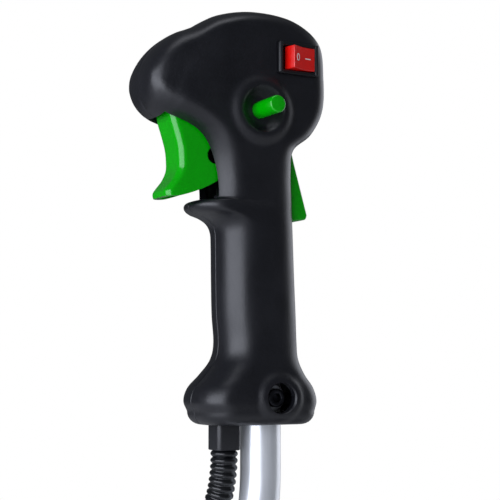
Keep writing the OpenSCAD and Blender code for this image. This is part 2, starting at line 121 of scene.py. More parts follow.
# %% helpers for grids and meshes
def cells(rows, columns, wrap=False, first=0):
    """Corner numbers of every cell of a grid stored row by row; wrap joins the last column to the first."""
    r, c = np.meshgrid(np.arange(rows - 1), np.arange(columns - (0 if wrap else 1)), indexing="ij")
    n = (c + 1) % columns
    quads = [r * columns + c, r * columns + n, (r + 1) * columns + n, (r + 1) * columns + c]
    return np.stack(quads, -1).reshape(-1, 4) + first


def strip(a, b):
    """Cells between two equal lists of point numbers."""
    a, b = np.asarray(a), np.asarray(b)
    return np.stack([a[:-1], a[1:], b[1:], b[:-1]], -1)


def mesh_object(name, points, faces, sharp=32, weld=2e-6, outwards=True):
    """A mesh object at the origin from grip millimetres, welded, with its faces outwards and smooth
    shading."""
    mesh = bpy.data.meshes.new(name)
    mesh.from_pydata(metres(points).tolist(), [], [list(f) for f in faces])
    tidy = bmesh.new()
    tidy.from_mesh(mesh)
    bmesh.ops.remove_doubles(tidy, verts=tidy.verts, dist=weld)
    bmesh.ops.dissolve_degenerate(tidy, edges=tidy.edges, dist=weld)
    if outwards:
        bmesh.ops.recalc_face_normals(tidy, faces=tidy.faces)
    tidy.to_mesh(mesh)
    tidy.free()
    thing = bpy.data.objects.new(name, mesh)
    bpy.context.collection.objects.link(thing)
    soften(thing, sharp)
    return thing


def soften(thing, sharp=32):
    """Smooth shading, with edges sharper than the angle in degrees left crisp."""
    thing.data.shade_smooth()
    thing.data.set_sharp_from_angle(angle=math.radians(sharp))


def spline(rows, count):
    """Catmull-Rom: each point is a cubic blend of the four rows round it, so the curve goes through them
    all."""
    p = np.asarray(rows, float)
    m = len(p)
    q = np.vstack([2 * p[0] - p[1], p, 2 * p[-1] - p[-2]])
    t = np.linspace(0, m - 1, count)
    i = np.clip(t.astype(int), 0, m - 2)
    u = (t - i)[:, None]
    a, b, c, d = q[i], q[i + 1], q[i + 2], q[i + 3]
    return 0.5 * (2 * b + (c - a) * u + (2 * a - 5 * b + 4 * c - d) * u**2 + (3 * b - a - 3 * c + d) * u**3)


def carried(path, rings):
    """Sections carried along a path: at each point two directions square to the path, turned as little as
    can be
    from one point to the next, carry the ring's two coordinates. rings is (points, around, 2)."""
    path = np.asarray(path, float)
    run = np.gradient(path, axis=0)
    run /= np.linalg.norm(run, axis=1)[:, None]
    side = np.zeros_like(path)
    guess = np.array([0.31, 0.87, 0.2])
    for i, t in enumerate(run):
        guess = guess - t * (guess @ t)
        guess /= np.linalg.norm(guess)
        side[i] = guess
    other = np.cross(run, side)
    return path[:, None] + rings[..., :1] * side[:, None] + rings[..., 1:] * other[:, None]


def turned(profile, centre, axis="y", around=64):
    """A profile of (radius, height) or (radius, height, sides) turned round an axis: x and y are the
    radius times
    the cosine and sine of the angle. With sides, the radius is that of a polygon's edge at the angle."""
    a = np.linspace(0, 2 * np.pi, around, endpoint=False)
    rows = []
    for item in profile:
        radius, height, sides = (*item, 0)[:3]
        r = np.full(around, float(radius))
        if sides:
            r = radius * np.cos(np.pi / sides) / np.cos(a % (2 * np.pi / sides) - np.pi / sides)
        ring = [r * np.cos(a), np.full(around, float(height)), r * np.sin(a)]
        rows.append(np.stack(ring if axis == "y" else [ring[0], ring[2], ring[1]], -1))
    return np.concatenate(rows) + np.asarray(centre, float), cells(len(rows), around, wrap=True)


def rounded_edge(radius, low, high, r=0.4, steps=4):
    """The outline of a round bar from its low middle to its high middle, with both rims rounded by r."""
    a = np.linspace(0, np.pi / 2, steps + 1)
    foot = np.stack([radius - r + r * np.sin(a), low + r - r * np.cos(a)], -1)
    head = np.stack([radius - r + r * np.cos(a), high - r + r * np.sin(a)], -1)
    return [(0, low), *map(tuple, foot), *map(tuple, head), (0, high)]


def prism(outline, low, high):
    """An outline in x and z pushed from y low to y high."""
    o = np.asarray(outline, float)
    n = len(o)
    ends = [np.stack([o[:, 0], np.full(n, y), o[:, 1]], -1) for y in (low, high)]
    i = np.arange(n)
    sides = np.stack([i, (i + 1) % n, (i + 1) % n + n, i + n], -1).tolist()
    return np.concatenate(ends), sides + [i[::-1].tolist(), (i + n).tolist()]


def joined(*solids):
    """Several (points, faces) as one."""
    points, faces, start = [], [], 0
    for p, f in solids:
        points.append(np.asarray(p, float))
        faces += [[int(k) + start for k in face] for face in f]
        start += len(p)
    return np.concatenate(points), faces


def applied(thing):
    """Replaces an object's mesh by what its modifiers make of it."""
    graph = bpy.context.evaluated_depsgraph_get()
    done = bpy.data.meshes.new_from_object(thing.evaluated_get(graph))
    thing.modifiers.clear()
    thing.data = done
    return thing


def cut(thing, *solids):
    """Takes each solid out of an object by exact boolean difference, one after another."""
    for k, (points, faces) in enumerate(solids):
        tool = mesh_object(f"cutter_{k}", points, faces)
        step = thing.modifiers.new("cut", "BOOLEAN")
        step.operation, step.solver, step.object = "DIFFERENCE", "EXACT", tool
        applied(thing)
        bpy.data.objects.remove(tool)
    return thing


def bevelled(thing, width, segments=3, angle=30):
    """Rounds every edge sharper than the angle, by a width in millimetres."""
    step = thing.modifiers.new("edges", "BEVEL")
    step.width, step.segments, step.limit_method = width / 1000, segments, "ANGLE"
    step.angle_limit = math.radians(angle)
    return applied(thing)


def finish_piece(thing, body, slot, *nodes, sharp=32):
    """Smooths a piece's shading, says which body it rides on and hides the engineering solids it stands for.
    slot is not used.
    """
    soften(thing, sharp)
    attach(thing, body)
    if nodes:
        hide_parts(*nodes)
    print(thing.name, len(thing.data.vertices), "points on", body)
    return thing


# %% [markdown]
# ## The corrugated conduit
# A split conduit of black polyamide carries the throttle cable and the two stop leads. Its wall is a row of
# round ribs, about three millimetres apart, which is what lets it bend. It leaves the block under the grip,
# comes down beside the handlebar and is wound into two tied turns, as it is packed. The route is one smooth
# curve: listed points for the way in, then a helix.

# %% conduit
RIB_PITCH, RIB_OUTSIDE, RIB_DEPTH = 3.1, 6.4, 1.15
COIL_RADIUS, COIL_HEIGHT, COIL_STEP = 65.0, -116.0, 13.4
way_in = [[14.5, -12.2, -10.65], [14.5, -12.6, -20], [14, -14.6, -31], [12.5, -19.5, -44], [8, -27, -62],
          [3, -38, -75], [-2, -49, -88], [-6.5, -58.5, -100], [-9.3, -63.6, -110]]
turn = np.linspace(0, 4 * np.pi, 97)
helix = np.stack([-10.4 - COIL_STEP * turn / (2 * np.pi), -COIL_RADIUS * np.cos(turn),
                  COIL_HEIGHT - COIL_RADIUS * np.sin(turn)], -1)
way_out = [[-37.9, -65, -120], [-38.5, -65, -125], [-38.6, -65, -131]]
route = bend_points(np.vstack([spline(way_in, 33)[:-1], [[-10.1, -64.6, -113]], helix, way_out]))


def even(points, count):
    """The same curve with points spread evenly by length."""
    step = np.concatenate([[0], np.cumsum(np.linalg.norm(np.diff(points, axis=0), axis=1))])
    at = np.linspace(0, step[-1], count)
    return np.stack([np.interp(at, step, points[:, k]) for k in range(3)], -1), step[-1]


fine_route, conduit_length = even(spline(route, 6000), 2500)
along = np.linspace(0, conduit_length, len(fine_route))
rib = 0.5 - 0.5 * np.cos(2 * np.pi * along / RIB_PITCH)
rib_radius = RIB_OUTSIDE - RIB_DEPTH * (1 - np.sqrt(rib))
angles = np.linspace(0, 2 * np.pi, 20, endpoint=False)
rings = rib_radius[:, None, None] * np.stack([np.cos(angles), np.sin(angles)], -1)[None]
tube_points = carried(fine_route, rings).reshape(-1, 3)
tube_faces = cells(len(fine_route), 20, wrap=True).tolist()
tube_faces += [list(range(20))[::-1], [len(tube_points) - 20 + k for k in range(20)]]
conduit = mesh_object("corrugated_conduit", tube_points, tube_faces, sharp=80)
finish_piece(conduit, "housing", "conduit_plastic", "conduit_lead", "conduit_coil", sharp=80)
print("conduit length", round(conduit_length / 1000, 3), "m")

# %% [markdown]
# ## The half shells
# Each half is a hollow moulding. Its outside is a loft: at every station up the grip a section reaches from
# a point on the front outline to a point on the rear one, and the station's width and corner roundings
# shape it. The sections turn as the neck swings over into the nose. The finger rest is simply a place where
# the front outline runs out and back. The inside is the same loft moved in by the wall, and flat strips at
# the parting plane join the two, so the half is one closed solid that tools can cut.

# %% the stations
# front x, z; rear x, z; half width; front and rear rounding, in millimetres
LOW_STATIONS = [
    [-34.4, 7, 24.2, 7, 19.6, 13, 13], [-36.2, 12, 25.2, 12, 20, 13, 13], [-34.2, 18, 23.4, 18, 19.6, 13, 13],
    [-28.6, 24, 19.4, 24, 18.4, 13, 13], [-23.6, 31, 16.8, 31, 17.2, 15, 15], [-22.2, 39, 16.4, 39, 16.4, 16,
                                                                               16],
    [-23.2, 52, 16, 52, 16.2, 16, 16], [-23.6, 68, 15.3, 68, 16.2, 16, 16], [-23.8, 84, 14.7, 84, 16.3, 16,
                                                                             16]]
REST_STATIONS = [
    [-24.2, 90.5, 14.5, 89, 16.4, 16, 16], [-26.4, 94.6, 14.3, 93, 16.5, 16, 16], [-30.6, 97.2, 14.2, 95.5,
                                                                                   16.5, 16, 16],
    [-35.4, 98.8, 14.1, 97.5, 16.5, 16, 16], [-37.6, 100.6, 14, 99, 16.5, 16, 16],
    [-37.6, 102.6, 13.9, 100.5, 16.6, 16, 16], [-35.4, 104, 13.8, 102, 16.8, 15.5, 16],
    [-30.4, 104.6, 13.7, 104, 17, 15, 16], [-29.4, 107, 13.5, 107.5, 17.2, 15, 16]]
PLAIN_FRONT = [[-24.2, 88.5], [-24.4, 91.5], [-24.7, 94], [-25, 96.5], [-25.6, 98.5], [-26.4, 100.5],
               [-27.2, 102.5],
               [-28.2, 104.6], [-28.9, 107]]
HIGH_STATIONS = [
    [-29.8, 115, 12.8, 119, 17.8, 14, 15], [-31.4, 123, 13.8, 130, 18.8, 13, 14],
    [-34.2, 130, 22.9, 138, 19.6, 12, 13], [-38, 134.6, 28.8, 150, 20, 12, 12], [-42.4, 137.2, 29.4, 166, 20,
                                                                                 12, 12],
    [-46.6, 138.8, 26.6, 183, 20, 12, 12], [-50.2, 139.8, 12.4, 192.8, 20, 12, 12],
    [-53.2, 140.6, -8, 195.2, 19.8, 12, 13], [-55.2, 141.4, -26, 191.8, 19.2, 12, 13],
    [-56.6, 142.2, -39, 184.6, 18.4, 11, 12]]
NOSE_OUTSIDE = [
    [-57.6, 142.9, -47.4, 180.9, 17.9, 11, 12], [-59.2, 144.3, -54, 176.2, 17.2, 11, 12],
    [-60.9, 146.6, -58.8, 171, 15.9, 10, 11], [-62.4, 149.7, -61.9, 165.6, 13.6, 8, 8],
    [-63.3, 152.8, -63.2, 161.2, 9.8, 5, 5], [-63.7, 155.6, -63.7, 158.2, 5, 3, 3]]
NOSE_INSIDE = [
    [-57.2, 143.4, -46.2, 181.2, 17.9, 11, 12], [-57.6, 144.2, -50.6, 177.8, 17.4, 11, 12],
    [-57.9, 145, -53.6, 174.6, 16.9, 10, 11], [-58.2, 145.8, -55.6, 171.6, 16.4, 8, 8],
    [-58.4, 146.6, -56.8, 169.2, 16, 8, 8], [-58.6, 147.4, -57.6, 167, 15.6, 8, 8]]
WALL, FOOT_ROUND, SEAM = 2.6, 6.0, 0.04
plain_rest = [front + row[2:] for front, row in zip(PLAIN_FRONT, REST_STATIONS)]
outer_stations = LOW_STATIONS + REST_STATIONS + HIGH_STATIONS + NOSE_OUTSIDE
inner_stations = LOW_STATIONS + plain_rest + HIGH_STATIONS + NOSE_INSIDE


def station_rows(stations, inset):
    """Every row of the loft: the spline through the stations. At the foot a quarter-round cap draws in by
    r(1 - cos a) and moves down by r sin a, and a flat part draws in to the middle line. At the nose the last
    station draws in to the middle line."""
    body = spline(stations, 290)
    quarter = np.linspace(0, np.pi / 2, 9)[1:]
    foot, nose, r = body[0], body[-1], FOOT_ROUND - inset
    cap = [(foot, inset + r * (1 - np.cos(a)), r * np.sin(a), -1) for a in quarter]
    cap += [(foot, inset + r + (foot[4] - inset - r) * f, r, -1) for f in np.linspace(0, 1, 10)[1:]]
    tip = [(nose, inset + (nose[4] - inset) * f, 0.0, 1) for f in np.linspace(0, 1, 8)[1:]]
    return cap[::-1] + [(row, inset, 0.0, 0) for row in body] + tip


def half_section(row, inset, out, end, corner=16, flat=46):
    """Half a section: a quarter superellipse of power 2.3 at each end and a flat between, then laid along the
    line from the front point to the rear point."""
    front, rear = row[0:2], row[2:4]
    long = np.hypot(*(rear - front))
    along_it = (rear - front) / long
    half, wide = max(long / 2 - inset, 0.4), max(row[4] - inset, 0.0)
    r_front = min(max(row[5] - inset, 0.2 * half), half * 0.98)
    r_rear = min(max(row[6] - inset, 0.2 * half), half * 0.98)
    a = np.linspace(0, np.pi / 2, corner)
    reach, rise = np.cos(a) ** (2 / 2.3), np.sin(a) ** (2 / 2.3)
    t_rear, t_front = half - r_rear + r_rear * reach, -(half - r_front + r_front * reach)
    flat_t = np.linspace(t_rear[-1], t_front[-1], flat + 2)[1:-1]
    t = np.concatenate([t_rear, flat_t, t_front[::-1]])
    y = np.concatenate([wide * rise, np.full(flat, wide), wide * rise[::-1]])
    y[[0, -1]] = min(SEAM, wide)
    middle = (front + rear) / 2 + np.array([-along_it[1], along_it[0]]) * out * end
    xz = middle + t[:, None] * along_it
    return np.stack([xz[:, 0], y, xz[:, 1]], -1)


def loft(stations, inset):
    """The grid of half sections, (rows, columns, 3)."""
    grid = np.array([half_section(*row) for row in station_rows(stations, inset)])
    grid[..., 1] = np.maximum(grid[..., 1], SEAM)
    return grid


def smooth_step(x):
    """Rises from 0 to 1 with flat ends: 3x^2 - 2x^3."""
    x = np.clip(x, 0, 1)
    return x * x * (3 - 2 * x)


# %% [markdown]
# On the switch side the lock button stands in a shallow crater with a soft raised rim, and the clamp bolt
# in a low round boss. Both are done by moving points of the loft along y as a function of their distance
# from the feature's middle, which leaves no seam. The parting edge is drawn in by a quarter of a
# millimetre, as a moulding's edge is, so the joint between the halves shows as a fine line.

# %% raised and sunk features
BUTTON, BOLT = (-9.5, 146.0), (0.0, 13.4)
LEVER_PIN = (8, 0, 141)


def crater(grid, at, sunk, inner, rim, rim_height, outer):
    """Inside the rim the surface sinks as a flat-floored bowl, 1 - (d / inner)^4; the rim is a ring raised
    by rim_height that
    fades to nothing at the outer radius."""
    d = np.hypot(grid[..., 0] - at[0], grid[..., 2] - at[1])
    bowl = sunk * np.clip(1 - (d / inner) ** 4, 0, 1)
    rise_from = inner * 0.55
    fall = smooth_step((outer - d) / (outer - rim))
    ring = rim_height * fall * smooth_step((d - rise_from) / (rim - rise_from))
    grid[..., 1] -= np.where(grid[..., 1] > 8, bowl - ring, 0)


def boss(grid, at, height, inner, outer):
    """A low round boss: full height to the inner radius, fading to nothing at the outer."""
    d = np.hypot(grid[..., 0] - at[0], grid[..., 2] - at[1])
    grid[..., 1] += np.where(grid[..., 1] > 8, height * smooth_step((outer - d) / (outer - inner)), 0)


SEAM_BEND = 0.34


def seam_edge(grid, depth=0.25):
    """Draws the two columns at the parting plane in along their own section, and turns the skin towards
    them at
    a height of SEAM_BEND."""
    inwards = grid[:, 1:-1].mean(axis=1)
    for column in (0, -1):
        way = inwards - grid[:, column]
        way[:, 1] = 0
        size = np.maximum(np.linalg.norm(way, axis=1)[:, None], 1e-6)
        grid[:, column] += way / size * np.minimum(depth, size * 0.2)
    for column, neighbour in ((1, 2), (-2, -3)):
        grid[:, column, 1] = np.minimum(SEAM_BEND, grid[:, neighbour, 1])


def half_shell(side):
    """One closed half: outside, inside and the flat strips between their borders. side is -1 for the
    switch side."""
    outside, inside = loft(outer_stations, 0), loft(inner_stations, WALL)
    if side < 0:
        crater(outside, BUTTON, 2.6, 10.6, 11.9, 1.7, 17.5)
        crater(inside, BUTTON, 2.8, 13.4, 13.5, 0.0, 14)
        boss(outside, BOLT, 1.5, 8.6, 13.0)
    else:
        boss(outside, BOLT, 1.2, 8.0, 12.0)
    seam_edge(outside)
    rows, columns = outside.shape[:2]
    numbers = np.arange(rows * columns).reshape(rows, columns)
    border = np.concatenate([numbers[0], numbers[1:, -1], numbers[-1, -2::-1], numbers[-2::-1, 0]])
    faces = [cells(rows, columns), cells(rows, columns, first=rows * columns)[:, ::-1],
             strip(border, border + rows * columns)]
    points = np.concatenate([outside.reshape(-1, 3), inside.reshape(-1, 3)])
    points[:, 1] *= side
    return points, np.concatenate(faces).tolist()


# %% [markdown]
# The openings are cut afterwards: the slots for the trigger and the lever, the recess of the switch, the
# stepped holes of the bolt and the screws, and the mouths for the tube and the conduit block. Each cutting
# solid goes right through the wall, so nothing is left coplanar.

# %% cutting tools
SWITCH = (8.8, 171.3)
SCREWS = [(17.4, 10.5, 3.0), (-28.6, 11, 3.2), (-46, 168, 0), (20, 152, 0), (-14, 181, 0)]
trigger_slot = prism([[-62, 104.7], [-62, 120], [-53.4, 146], [-21, 146], [-21, 104.7]], -10.4, 10.4)


def rounded_box(low, high, r, axis="y"):
    """A box with its four edges along one axis rounded: an outline of four quarter circles, pushed."""
    low, high = np.asarray(low, float), np.asarray(high, float)
    a, b = ((0, 2) if axis == "y" else (0, 1) if axis == "z" else (1, 2))
    turn_ = np.linspace(0, np.pi / 2, 6)
    outline = np.concatenate([np.stack([cx + r * np.cos(turn_ + q), cz + r * np.sin(turn_ + q)], -1)
                              for cx, cz, q in ((high[a] - r, high[b] - r, 0),
                                                (low[a] + r, high[b] - r, np.pi / 2),
                                                (low[a] + r, low[b] + r, np.pi), (high[a] - r, low[b] + r,
                                                                                  1.5 * np.pi))])
    n = len(outline)
    third = 3 - a - b
    ends = []
    for level in (low[third], high[third]):
        p = np.zeros((n, 3))
        p[:, a], p[:, b], p[:, third] = outline[:, 0], outline[:, 1], level
        ends.append(p)
    i = np.arange(n)
    sides = np.stack([i, (i + 1) % n, (i + 1) % n + n, i + n], -1).tolist()
    return np.concatenate(ends), sides + [i[::-1].tolist(), (i + n).tolist()]


lever_slot = rounded_box([6, -7.4, 95.2], [40, 7.4, 134.8], 2.5, axis="x")
tube_mouth = turned([(0, -12), (9.6, -12), (9.6, 90), (0, 90)], (0, 0, 0), "z", 72)
block_mouth = rounded_box([-25.4, -6.4, -8], [-12.6, 6.4, 15], 2.2, axis="z")
left_tools = [trigger_slot, lever_slot, tube_mouth, block_mouth,
              turned([(0, -30), (4.15, -30), (4.15, -8), (0, -8)], (BUTTON[0], 0, BUTTON[1]), "y", 48),
              turned([(0, -40), (7.6, -40), (7.6, -21.4), (7, -20.6), (7, -11.1), (2.7, -11.1), (2.7, 1),
                      (0, 1)],
                     (BOLT[0], 0, BOLT[1]), "y", 56),
              rounded_box([SWITCH[0] - 9.7, -30, SWITCH[1] - 6.55], [SWITCH[0] + 9.7, -9, SWITCH[1] + 6.55],
                          0.6),
              rounded_box([SWITCH[0] - 10.9, -40, SWITCH[1] - 7.9],
                          [SWITCH[0] + 10.9, -19.75, SWITCH[1] + 7.9], 0.8)]
right_tools = [trigger_slot, lever_slot, tube_mouth, block_mouth,
               turned([(0, -1), (2.7, -1), (2.7, 12.4), (4.75, 12.41, 6), (4.75, 40, 6), (0, 40)],
                      (BOLT[0], 0, BOLT[1]), "y", 60)]
right_tools += [turned([(0, 4), (2, 4), (2, 14 - deep), (3.95, 14.01 - deep), (3.95, 40), (0, 40)],
                       (x, 0, z), "y", 40)
                for x, z, deep in SCREWS]

# %% make the two halves
left = mesh_object("left_half", *half_shell(-1))
cut(left, *left_tools)
right = mesh_object("right_half", *half_shell(1))
cut(right, *right_tools)
finish_piece(left, "housing", "shell_nylon", "left_shell", sharp=28)
finish_piece(right, "housing", "shell_nylon", "right_shell", sharp=28)

# %% [markdown]
# ## Bosses inside
# Through the trigger's slot and the lever's slot the inside can be seen, so the screw posts and the pin posts
# are made as they are moulded.

# %% posts
def posts(side):
    """Round posts from just inside the skin to the parting plane."""
    solids = []
    top = 17.6
    for x, z, deep in SCREWS:
        solids.append(turned([(2.0, 0.3), (3.4, 0.3), (3.7, 13.6 - deep), (2.0, 13.6 - deep), (2.0, 0.3)],
                             (x, 0, z), "y", 28))
    solids.append(turned([(2.1, 10.3), (4.2, 10.3), (4.2, top), (2.1, top), (2.1, 10.3)], (-44, 0, 152), "y",
                         28))
    solids.append(turned([(2.1, 7.6), (4, 7.6), (4, top), (2.1, top), (2.1, 7.6)], LEVER_PIN, "y", 28))
    if side < 0:
        solids = [(p * [1, -1, 1], f) for p, f in solids]
        for k, (x, z, deep) in enumerate(SCREWS):
            solids[k] = turned([(0, -0.3), (3.4, -0.3), (3.7, 2 * deep - 16.4), (0, 2 * deep - 16.4)],
                               (x, 0, z), "y", 28)
    return solids


for side, name in ((-1, "left_posts"), (1, "right_posts")):
    inner = mesh_object(name, *joined(*posts(side)))
    finish_piece(inner, "housing", "shell_nylon")

# %% [markdown]
# ## The throttle trigger
# The trigger is an open-backed moulding: a curved front wall for the fingers and two side walls, 2.3 mm
# thick. Its section is a U carried up a curved outline. The outer line and the inner line are both sampled
# at the same number of points, so one rim joins them at the back edges, and another at the top and at the
# foot.

# %% trigger
# height, front x, rear x
TRIGGER = [[102.6, -51.6, -26.8], [104.8, -52.6, -26.8], [107, -52.9, -26.8], [109.2, -51.6, -26.8],
           [113.2, -48.5, -26.8],
           [118, -46.4, -26.6], [123, -46.3, -27.4], [128, -46.9, -29.2], [134, -48.6, -31.6], [140.5, -50.7,
                                                                                                -36],
           [146, -51.6, -38], [152, -50.4, -39.6], [156, -48.2, -41.2]]
TRIGGER_HALF, TRIGGER_WALL, TRIGGER_CORNER = 9.5, 2.3, 3.6


def u_line(front, rear, half, corner, count=12):
    """A U seen from above: the side wall, a quarter-round corner, the front, and the same again mirrored."""
    corner = min(corner, (rear - front) * 0.6)
    a = np.linspace(0, np.pi / 2, count)
    wall_x = np.linspace(rear, front + corner, 10)
    bend_x, bend_y = front + corner - corner * np.sin(a), half - corner + corner * np.cos(a)
    front_y = np.linspace(half - corner, 0, 6)[1:]
    x = np.concatenate([wall_x[:-1], bend_x, np.full(5, front)])
    y = np.concatenate([np.full(9, half), bend_y, front_y])
    return np.stack([np.concatenate([x, x[-2::-1]]), np.concatenate([y, -y[-2::-1]])], -1)


def trigger_shell():
    """Rows of outer and inner U lines, with two drawn-in rows at each end that round the rim."""
    rows = spline(TRIGGER, 90)
    rows = np.vstack([rows[:1], rows[:1], rows, rows[-1:], rows[-1:]])
    draw = np.zeros(len(rows))
    draw[:2], draw[-2:] = (0.7, 0.22), (0.22, 0.7)
    lift = np.zeros(len(rows))
    lift[:2], lift[-2:] = (-0.7, -0.5), (0.5, 0.7)
    outer, inner, edge_a, edge_b = [], [], [], []
    for (z, x0, x1), d, up in zip(rows, draw, lift):
        o = u_line(x0 + d, x1 - 0.5, TRIGGER_HALF - d, TRIGGER_CORNER)
        wall = TRIGGER_WALL - 2 * d
        i = u_line(x0 + d + wall, x1 - 0.5, TRIGGER_HALF - d - wall, TRIGGER_CORNER - 1.4)
        height = np.full((len(o), 1), z + up)
        outer.append(np.hstack([o, height]))
        inner.append(np.hstack([i, height]))
    outer, inner = np.array(outer), np.array(inner)
    n, m = outer.shape[:2]
    rim = (outer + inner) / 2
    rim[:, :, 0] += 0.55
    first, last = rim[:, 0], rim[:, -1]
    points = np.concatenate([outer.reshape(-1, 3), inner.reshape(-1, 3), first, last])
    o, i = np.arange(n * m).reshape(n, m), np.arange(n * m, 2 * n * m).reshape(n, m)
    f, g = np.arange(2 * n * m, 2 * n * m + n), np.arange(2 * n * m + n, 2 * n * m + 2 * n)
    faces = [cells(n, m), cells(n, m, first=n * m)[:, ::-1], strip(o[:, 0], f), strip(f, i[:, 0]),
             strip(o[:, -1], g)[:, ::-1], strip(g, i[:, -1])[:, ::-1], strip(o[0], i[0])[:,
                                                                                         ::-1], strip(o[-1],
                                                                                                      i[-1])]
    caps = [[o[0, 0], f[0], i[0, 0]], [o[-1, 0], i[-1, 0], f[-1]], [o[0, -1], i[0, -1], g[0]],
            [o[-1, -1], g[-1], i[-1, -1]]]
    return points, np.concatenate(faces).tolist() + [[int(v) for v in c] for c in caps]


UNDERSIDE = [[-66, 104.9], [-50.6, 104.7], [-46.6, 105], [-42.4, 106.1], [-37.6, 107.8], [-32.4, 110.1],
             [-27.4, 112.9],
             [-22, 116.4], [-22, 96], [-66, 96]]
underside = [list(p) for p in spline(UNDERSIDE[1:8], 36)]
underside = [UNDERSIDE[0]] + underside + UNDERSIDE[8:]
trigger = mesh_object("throttle_trigger", *trigger_shell())
cut(trigger, prism(underside, -14, 14), turned([(0, -14), (4, -14), (4, 14), (0, 14)], (-28.6, 0, 124.6),
                                               "y", 40))
bevelled(trigger, 0.35, 2, 50)
hub = mesh_object("trigger_hub", *joined(
    turned([(2.1, -9.4), (4.1, -9.4), (4.4, -9.1), (4.4, 9.1), (4.1, 9.4), (2.1, 9.4), (2.1, -9.4)],
           (-44, 0, 152), "y", 40),
    turned([(3.1, -4.6), (5.1, -4.6), (5.4, -4.3), (5.4, 4.3), (5.1, 4.6), (3.1, 4.6), (3.1, -4.6)],
           (-20.2, 0, 148.7), "y", 40),
    prism([[-41, 148.4], [-25.4, 145.6], [-25.2, 151.6], [-41, 155]], -2.9, 2.9)))
finish_piece(trigger, "trigger", "green_plastic", "trigger", sharp=40)
finish_piece(hub, "trigger", "green_plastic")

# %% [markdown]
# ## The lock-out lever
# The palm of the hand presses this lever before the trigger will move. It is a flat-sided moulding with a
# hollow back: an outline pushed to its width, its edges rounded by a bevel, and the hollow cut out
# afterwards so that its own edges stay crisp.

# %% lever
LEVER = [[3.4, 143], [3.4, 137.6], [8.4, 126], [11.2, 114], [12.4, 98.4], [14, 96.4], [21.4, 97.6],
         [22.2, 99.6],
         [15.2, 124], [13.2, 132], [12.8, 143]]
HOLLOW = [[0, 134.4], [5.4, 128.8], [9, 114], [10, 98], [12, 98], [18.6, 100.6], [12.2, 124], [9.6, 134.4]]
lever = bevelled(mesh_object("lever_moulding", *prism(LEVER, -6.6, 6.6)), 0.9, 4)
cut(lever, prism(HOLLOW, -4.6, 4.6), turned([(0, -9), (2.1, -9), (2.1, 9), (0, 9)], LEVER_PIN, "y", 32))
finish_piece(lever, "lockout_lever", "green_plastic", "lockout_lever")

# %% [markdown]
# ## The lock button
# A turned shape: a stem with a flat end and a small rounded rim, on a wider collar that stops it coming out.

# %% button
button_profile = [(0, -35)] + rounded_edge(4, -35, 0, 0.9, 6)[1:8] + [
    (4, -12.3), (5, -12), (5, -10), (4, -9.7), (2.4, -9.6), (2.4, -1.3), (2.1, -1), (0, -1)]
button = mesh_object("lock_button_turned", *turned(button_profile, (BUTTON[0], 0, BUTTON[1]), "y", 72))
finish_piece(button, "lock_button", "green_plastic", "lock_button")

# %% [markdown]
# ## The stop switch
# A snap-in rocker switch. The bezel is a rounded frame with a raised lip at each end, and the key is a
# wedge with two flat faces that meet in a shallow valley. The marks are the usual ring and bar, raised a
# tenth of a millimetre as print is, so they are pieces of their own.

# %% bezel and switch body
def frame_ring(low, high, hole_low, hole_high, y0, y1, r=0.9):
    """A rectangular frame: rounded outline outside, sharper one inside, both sampled alike so strips join
    them."""
    out_p, _ = rounded_box([low[0], y0, low[1]], [high[0], y1, high[1]], r)
    in_p, _ = rounded_box([hole_low[0], y0, hole_low[1]], [hole_high[0], y1, hole_high[1]], 0.3)
    n = len(out_p) // 2
    o0, o1, i0, i1 = out_p[:n], out_p[n:], in_p[:n], in_p[n:]
    points = np.concatenate([o0, o1, i0, i1])
    k = np.arange(n)
    j = (k + 1) % n
    faces = [np.stack([a * n + k, a * n + j, b * n + j, b * n + k], -1) for a,
             b in ((0, 1), (1, 3), (3, 2), (2, 0))]
    return points, np.concatenate(faces).tolist()


bezel = mesh_object("switch_bezel", *frame_ring((SWITCH[0] - 10.5, SWITCH[1] - 7.5),
                                                (SWITCH[0] + 10.5, SWITCH[1] + 7.5),
                                                (SWITCH[0] - 8.3, SWITCH[1] - 5.8), (SWITCH[0] + 8.3,
                                                                                     SWITCH[1] + 5.8),
                                                -22, -19.9))
bevelled(bezel, 0.35, 3)
lips = mesh_object("bezel_lips", *joined(*[rounded_box([SWITCH[0] + s * 9.5 - 0.75, -22.7, SWITCH[1] - 7.3],
                                                       [SWITCH[0] + s * 9.5 + 0.75, -21.5,
                                                        SWITCH[1] + 7.3], 0.3)
                                           for s in (-1, 1)]))
bevelled(lips, 0.3, 3)
body_box = frame_ring((SWITCH[0] - 9.6, SWITCH[1] - 6.45), (SWITCH[0] + 9.6, SWITCH[1] + 6.45),
                      (SWITCH[0] - 8.3, SWITCH[1] - 5.8), (SWITCH[0] + 8.3, SWITCH[1] + 5.8), -20, -8)
back_plate = rounded_box([SWITCH[0] - 9.6, -11, SWITCH[1] - 6.45], [SWITCH[0] + 9.6, -6.5, SWITCH[1] + 6.45],
                         0.5)
switch_case = mesh_object("switch_case", *joined(body_box, back_plate))
finish_piece(bezel, "housing", "switch_black", "switch_body")
finish_piece(lips, "housing", "switch_black")
finish_piece(switch_case, "housing", "switch_black")

# %% key and its marks
TILT = math.radians(16)
KEY = [[-6.9, 0], [-6.85, -6.4], [0, -5.3], [6.85, -6.4], [6.9, 0], [3.4, 3.6], [-3.4, 3.6]]


def on_key(points):
    """From the key's own x along it, y out of it and z up, to the grip: turn by the tilt round z, then
    move."""
    x, y, z = np.asarray(points, float).T
    c, s = math.cos(TILT), math.sin(TILT)
    return np.stack([SWITCH[0] + x * c - y * s, -18.4 + x * s + y * c, SWITCH[1] + z], -1)


